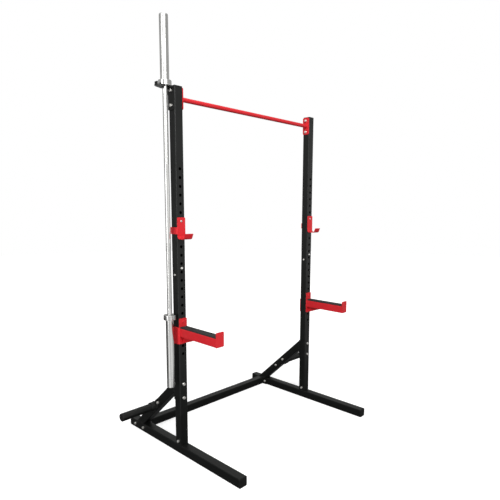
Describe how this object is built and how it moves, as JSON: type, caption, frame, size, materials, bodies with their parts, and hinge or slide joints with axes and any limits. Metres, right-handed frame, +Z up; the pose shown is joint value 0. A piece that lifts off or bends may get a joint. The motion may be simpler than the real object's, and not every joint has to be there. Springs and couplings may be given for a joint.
{
  "type": "power cage",
  "caption": "Open half rack with two perforated uprights on floor feet, pull-up bar, J-hooks, safety arms, plate pegs and a side holder with a hanging barbell.",
  "frame": {"origin": "on the floor, under the middle of the overall footprint", "axes": "+X to the right as the lifter faces the rack from the front, +Y from the front to the rear, +Z up"},
  "size_m": [1.784, 1.112, 2.562],
  "materials": {
    "black_paint": "fine-textured black powder coat",
    "red_paint": "semi-gloss red powder coat",
    "plug_plastic": "moulded black plastic",
    "pad_rubber": "matt black rubber",
    "zinc_fasteners": "bright zinc plate",
    "pin_steel": "plated steel",
    "bar_chrome": "satin to bright chrome"
  },
  "bodies": {
    "frame": {"foot_left": "black_paint", "foot_right": "black_paint", "foot_plug_front_left": "plug_plastic", "foot_plug_front_right": "plug_plastic", "foot_plug_rear_left": "plug_plastic", "foot_plug_rear_right": "plug_plastic", "rear_crossmember": "black_paint", "upright_lower_left": "black_paint", "upright_lower_right": "black_paint", "upright_upper_left": "black_paint", "upright_upper_right": "black_paint", "splice_sleeve_left": "black_paint", "splice_sleeve_right": "black_paint", "upright_plug_left": "plug_plastic", "upright_plug_right": "plug_plastic", "rear_brace_left": "black_paint", "rear_brace_right": "black_paint", "plate_peg_left": "black_paint", "plate_peg_right": "black_paint", "peg_plug_left": "plug_plastic", "peg_plug_right": "plug_plastic", "pull_up_bar": "red_paint", "barbell_holder": "black_paint", "splice_front_bolt_left": "zinc_fasteners", "splice_front_bolt_right": "zinc_fasteners", "splice_side_bolt_left": "zinc_fasteners", "splice_side_bolt_right": "zinc_fasteners", "base_bolt_left": "zinc_fasteners", "base_bolt_right": "zinc_fasteners", "brace_bolt_high_left": "zinc_fasteners", "brace_bolt_high_right": "zinc_fasteners", "brace_bolt_low_left": "zinc_fasteners", "brace_bolt_low_right": "zinc_fasteners", "crossmember_bolt_front_left": "zinc_fasteners", "crossmember_bolt_front_right": "zinc_fasteners", "crossmember_bolt_rear_left": "zinc_fasteners", "crossmember_bolt_rear_right": "zinc_fasteners", "peg_bolt_high_left": "zinc_fasteners", "peg_bolt_high_right": "zinc_fasteners", "peg_bolt_low_left": "zinc_fasteners", "peg_bolt_low_right": "zinc_fasteners", "pull_up_bolt_high_left": "zinc_fasteners", "pull_up_bolt_high_right": "zinc_fasteners", "pull_up_bolt_low_left": "zinc_fasteners", "pull_up_bolt_low_right": "zinc_fasteners"},
    "j_hook_left": {"j_hook_left": "red_paint", "j_hook_pin_left": "pin_steel"},
    "j_hook_right": {"j_hook_right": "red_paint", "j_hook_pin_right": "pin_steel"},
    "safety_arm_left": {"safety_arm_left": "red_paint", "safety_pad_left": "pad_rubber", "safety_pin_left": "pin_steel"},
    "safety_arm_right": {"safety_arm_right": "red_paint", "safety_pad_right": "pad_rubber", "safety_pin_right": "pin_steel"},
    "barbell": {"barbell_shaft": "bar_chrome"},
    "sleeve_upper": {"barbell_sleeve_upper": "bar_chrome", "barbell_disc_upper": "pin_steel"},
    "sleeve_lower": {"barbell_sleeve_lower": "bar_chrome", "barbell_disc_lower": "pin_steel"}
  },
  "joints": [
    {"name": "barbell_draw_out", "type": "slide", "parent": "frame", "child": "barbell", "axis": [0, -1, 0], "range_m": [0, 0.3]},
    {"name": "sleeve_upper_spin", "type": "hinge", "parent": "barbell", "child": "sleeve_upper", "pos_m": [-0.687, -0.006, 2.3], "axis": [0, 0, 1], "continuous": true},
    {"name": "sleeve_lower_spin", "type": "hinge", "parent": "barbell", "child": "sleeve_lower", "pos_m": [-0.687, -0.006, 0.7], "axis": [0, 0, 1], "continuous": true},
    {"name": "j_hook_left_swing", "type": "hinge", "parent": "frame", "child": "j_hook_left", "pos_m": [-0.615, -0.036, 1.441], "axis": [0, 1, 0], "range_deg": [0, 12]},
    {"name": "j_hook_right_swing", "type": "hinge", "parent": "frame", "child": "j_hook_right", "pos_m": [0.615, -0.036, 1.441], "axis": [0, -1, 0], "range_deg": [0, 90]},
    {"name": "safety_arm_left_swing", "type": "hinge", "parent": "frame", "child": "safety_arm_left", "pos_m": [-0.615, -0.036, 0.841], "axis": [0, 1, 0], "range_deg": [0, 5]},
    {"name": "safety_arm_right_swing", "type": "hinge", "parent": "frame", "child": "safety_arm_right", "pos_m": [0.615, -0.036, 0.841], "axis": [0, -1, 0], "range_deg": [0, 90]}
  ]
}
